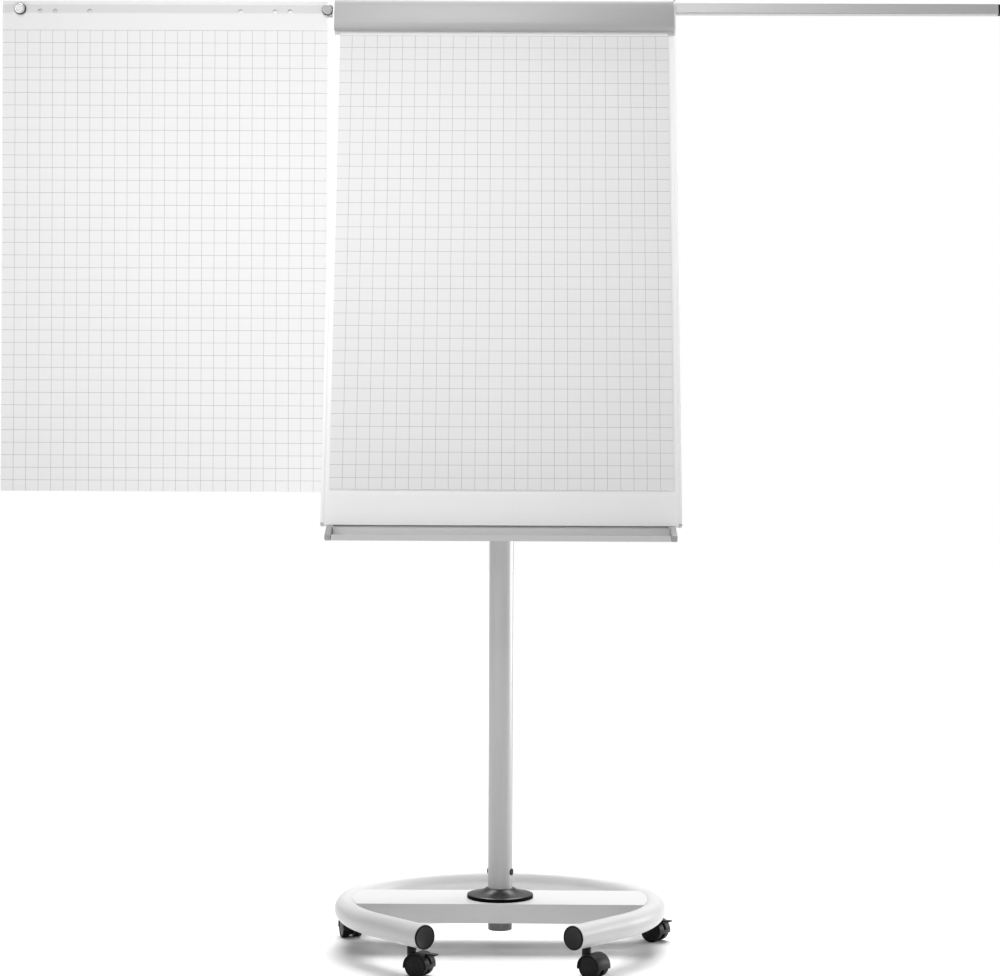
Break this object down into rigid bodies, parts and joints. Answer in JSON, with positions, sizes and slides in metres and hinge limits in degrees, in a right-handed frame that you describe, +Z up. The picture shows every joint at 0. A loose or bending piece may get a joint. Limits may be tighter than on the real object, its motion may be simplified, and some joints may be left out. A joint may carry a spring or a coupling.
{
  "type": "flipchart easel",
  "caption": "Mobile flipchart easel: tilting magnetic board on a telescopic pole with an open-ring castor base and two side arms.",
  "frame": {"origin": "on the floor under the pole's axis", "axes": "+X along the extended arms to the reader's right, +Y away from the reader, +Z up"},
  "size_m": [1.993, 0.6666, 1.8745],
  "materials": {
    "white_tube": "satin white powder coat",
    "white_bar": "smooth white powder coat",
    "pole_silver": "satin anodised",
    "inner_tube": "bright drawn",
    "black_plastic": "fine moulded grain",
    "castor_black": "moulded",
    "wheel_black": "moulded, slightly glossy",
    "grey_plastic": "moulded",
    "bush_plastic": "moulded",
    "zinc_steel": "zinc plated",
    "grey_steel": "satin grey",
    "bracket_steel": "black powder coat",
    "board_white": "white lacquered steel",
    "board_core": "light grey backing",
    "edge_alloy": "satin",
    "clamp_alloy": "satin anodised",
    "tray_alloy": "satin anodised",
    "arm_alloy": "satin anodised",
    "paper": "white with a pale printed grid",
    "magnet_metal": "turned",
    "hook_steel": "bright"
  },
  "bodies": {
    "base": {"base_ring": "white_tube", "ring_end_cap_left": "black_plastic", "ring_end_cap_right": "black_plastic", "base_cross_bar": "white_bar", "pole_spigot": "zinc_steel", "foot_nut": "grey_steel", "flange_cover": "black_plastic", "pole_cross_bolt": "zinc_steel", "cross_bolt_plugs": "black_plastic", "outer_pole": "pole_silver", "guide_bush": "bush_plastic", "clamp_collar": "black_plastic", "castor_socket_front_left": "bush_plastic", "castor_socket_front_right": "bush_plastic", "castor_socket_right": "bush_plastic", "castor_socket_left": "bush_plastic", "castor_socket_rear": "bush_plastic"},
    "height_knob": {"height_clamp_knob": "black_plastic"},
    "mast": {"inner_pole": "inner_tube", "tilt_head": "grey_steel"},
    "board": {"board_bracket": "bracket_steel", "bracket_screws": "zinc_steel", "hinge_pin": "zinc_steel", "writing_surface": "board_white", "board_core": "board_core", "side_profile_left": "edge_alloy", "side_profile_right": "edge_alloy", "corner_pieces": "grey_plastic", "paper_pad": "paper", "pad_hook_left": "hook_steel", "pad_hook_right": "hook_steel", "clamp_hinge_blocks": "grey_plastic", "pen_tray": "tray_alloy", "tray_end_cap_left": "grey_plastic", "tray_end_cap_right": "grey_plastic", "arm_rail": "edge_alloy"},
    "tilt_knob": {"tilt_clamp_knob": "black_plastic"},
    "clamp": {"clamp_bar": "clamp_alloy"},
    "left_arm_body": {"left_arm": "arm_alloy", "left_arm_cap": "black_plastic"},
    "right_arm_body": {"right_arm": "arm_alloy", "right_arm_cap": "black_plastic"},
    "sheet": {"hanging_sheet": "paper", "sheet_magnet_left": "magnet_metal", "sheet_magnet_right": "magnet_metal"},
    "castor_front_left": {"castor_housing_front_left": "castor_black"},
    "wheels_front_left": {"castor_wheels_front_left": "wheel_black"},
    "brake_front_left": {"castor_brake_front_left": "castor_black"},
    "castor_front_right": {"castor_housing_front_right": "castor_black"},
    "wheels_front_right": {"castor_wheels_front_right": "wheel_black"},
    "castor_right": {"castor_housing_right": "castor_black"},
    "wheels_right": {"castor_wheels_right": "wheel_black"},
    "brake_right": {"castor_brake_right": "castor_black"},
    "castor_left": {"castor_housing_left": "castor_black"},
    "wheels_left": {"castor_wheels_left": "wheel_black"},
    "castor_rear": {"castor_housing_rear": "castor_black"},
    "wheels_rear": {"castor_wheels_rear": "wheel_black"}
  },
  "joints": [
    {"name": "swivel_front_left", "type": "hinge", "parent": "base", "child": "castor_front_left", "pos_m": [-0.16102, -0.27793, 0.045], "axis": [0, 0, 1], "continuous": true},
    {"name": "roll_front_left", "type": "hinge", "parent": "castor_front_left", "child": "wheels_front_left", "pos_m": [-0.14652, -0.28469, 0.021], "axis": [0.4226, 0.9063, 0], "continuous": true},
    {"name": "brake_press_front_left", "type": "hinge", "parent": "castor_front_left", "child": "brake_front_left", "pos_m": [-0.13111, -0.29188, 0.037], "axis": [0.4226, 0.9063, 0], "range_deg": [0, 15]},
    {"name": "swivel_front_right", "type": "hinge", "parent": "base", "child": "castor_front_right", "pos_m": [0.16102, -0.27793, 0.045], "axis": [0, 0, 1], "continuous": true},
    {"name": "roll_front_right", "type": "hinge", "parent": "castor_front_right", "child": "wheels_front_right", "pos_m": [0.17413, -0.28711, 0.021], "axis": [0.5736, 0.8192, 0], "continuous": true},
    {"name": "swivel_right", "type": "hinge", "parent": "base", "child": "castor_right", "pos_m": [0.29473, 0.06588, 0.045], "axis": [0, 0, 1], "continuous": true},
    {"name": "roll_right", "type": "hinge", "parent": "castor_right", "child": "wheels_right", "pos_m": [0.30784, 0.0567, 0.021], "axis": [0.5736, 0.8192, 0], "continuous": true},
    {"name": "brake_press_right", "type": "hinge", "parent": "castor_right", "child": "brake_right", "pos_m": [0.32176, 0.04695, 0.037], "axis": [0.5736, 0.8192, 0], "range_deg": [0, 15]},
    {"name": "swivel_left", "type": "hinge", "parent": "base", "child": "castor_left", "pos_m": [-0.29473, 0.06588, 0.045], "axis": [0, 0, 1], "continuous": true},
    {"name": "roll_left", "type": "hinge", "parent": "castor_left", "child": "wheels_left", "pos_m": [-0.29941, 0.08118, 0.021], "axis": [-0.9563, -0.2924, 0], "continuous": true},
    {"name": "swivel_rear", "type": "hinge", "parent": "base", "child": "castor_rear", "pos_m": [0, 0.302, 0.045], "axis": [0, 0, 1], "continuous": true},
    {"name": "roll_rear", "type": "hinge", "parent": "castor_rear", "child": "wheels_rear", "pos_m": [-0.01226, 0.31228, 0.021], "axis": [-0.6428, -0.766, 0], "continuous": true},
    {"name": "height_slide", "type": "slide", "parent": "base", "child": "mast", "axis": [0, 0, 1], "range_m": [-0.17, 0.18]},
    {"name": "height_knob_turn", "type": "hinge", "parent": "base", "child": "height_knob", "pos_m": [0, 0.035, 1.103], "axis": [0, 1, 0], "range_deg": [0, 270]},
    {"name": "board_tilt", "type": "hinge", "parent": "mast", "child": "board", "pos_m": [0, 0, 1.366], "axis": [-1, 0, 0], "range_deg": [-13.5, 15]},
    {"name": "tilt_knob_turn", "type": "hinge", "parent": "board", "child": "tilt_knob", "pos_m": [0.03, 0, 1.366], "axis": [1, 0, 0], "range_deg": [0, 270]},
    {"name": "clamp_open", "type": "hinge", "parent": "board", "child": "clamp", "pos_m": [0, 0.05299, 1.86646], "axis": [-1, 0, 0], "range_deg": [0, 25]},
    {"name": "left_arm_slide", "type": "slide", "parent": "board", "child": "left_arm_body", "axis": [-1, 0, 0], "range_m": [-0.27, 0]},
    {"name": "right_arm_slide", "type": "slide", "parent": "board", "child": "right_arm_body", "axis": [-1, 0, 0], "range_m": [0, 0.62]},
    {"name": "sheet_hang", "type": "hinge", "parent": "left_arm_body", "child": "sheet", "pos_m": [-0.678, 0.07735, 1.84406], "axis": [-1, 0, 0], "range_deg": [-15, 13.5]}
  ],
  "couplings": [
    {"joint": "sheet_hang", "follows": "board_tilt", "ratio": -1}
  ]
}
